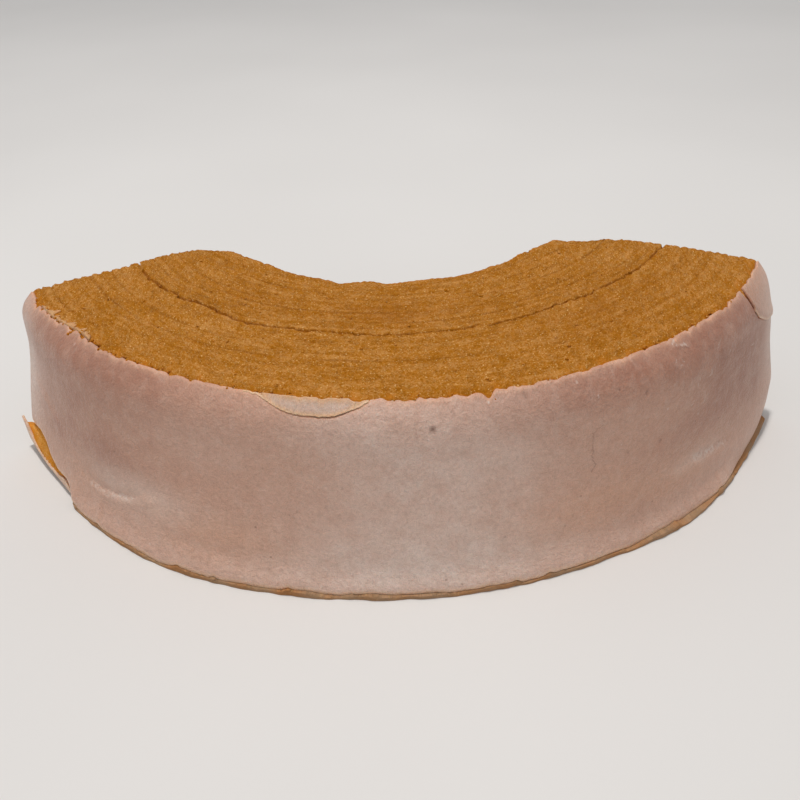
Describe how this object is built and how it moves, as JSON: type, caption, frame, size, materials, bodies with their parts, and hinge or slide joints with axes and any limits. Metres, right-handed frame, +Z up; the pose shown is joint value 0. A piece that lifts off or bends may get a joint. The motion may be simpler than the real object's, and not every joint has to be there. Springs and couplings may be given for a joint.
{
  "type": "baumkuchen piece",
  "caption": "Baumkuchen: a curved piece of a layered ring cake, cut as a flat slice, golden crumb with concentric layers inside and sugar glaze on its outer wall.",
  "frame": {"origin": "on the flat base, half-way across the ring and half-way round the piece", "axes": "+Z up; -Y towards the glazed outer wall; +X along the piece's length, to the right when the glazed wall faces the viewer"},
  "size_m": [0.1757, 0.0753, 0.0387],
  "materials": {
    "sponge": "moist baked crumb, golden brown, matt",
    "glaze": "thin translucent sugar glaze, soft satin gloss"
  },
  "bodies": {
    "root": {"sponge": "sponge", "glaze": "glaze", "glaze_chip": "glaze", "glaze_scale": "glaze", "glaze_flake": "glaze", "flake_sponge": "sponge"}
  },
  "joints": []
}
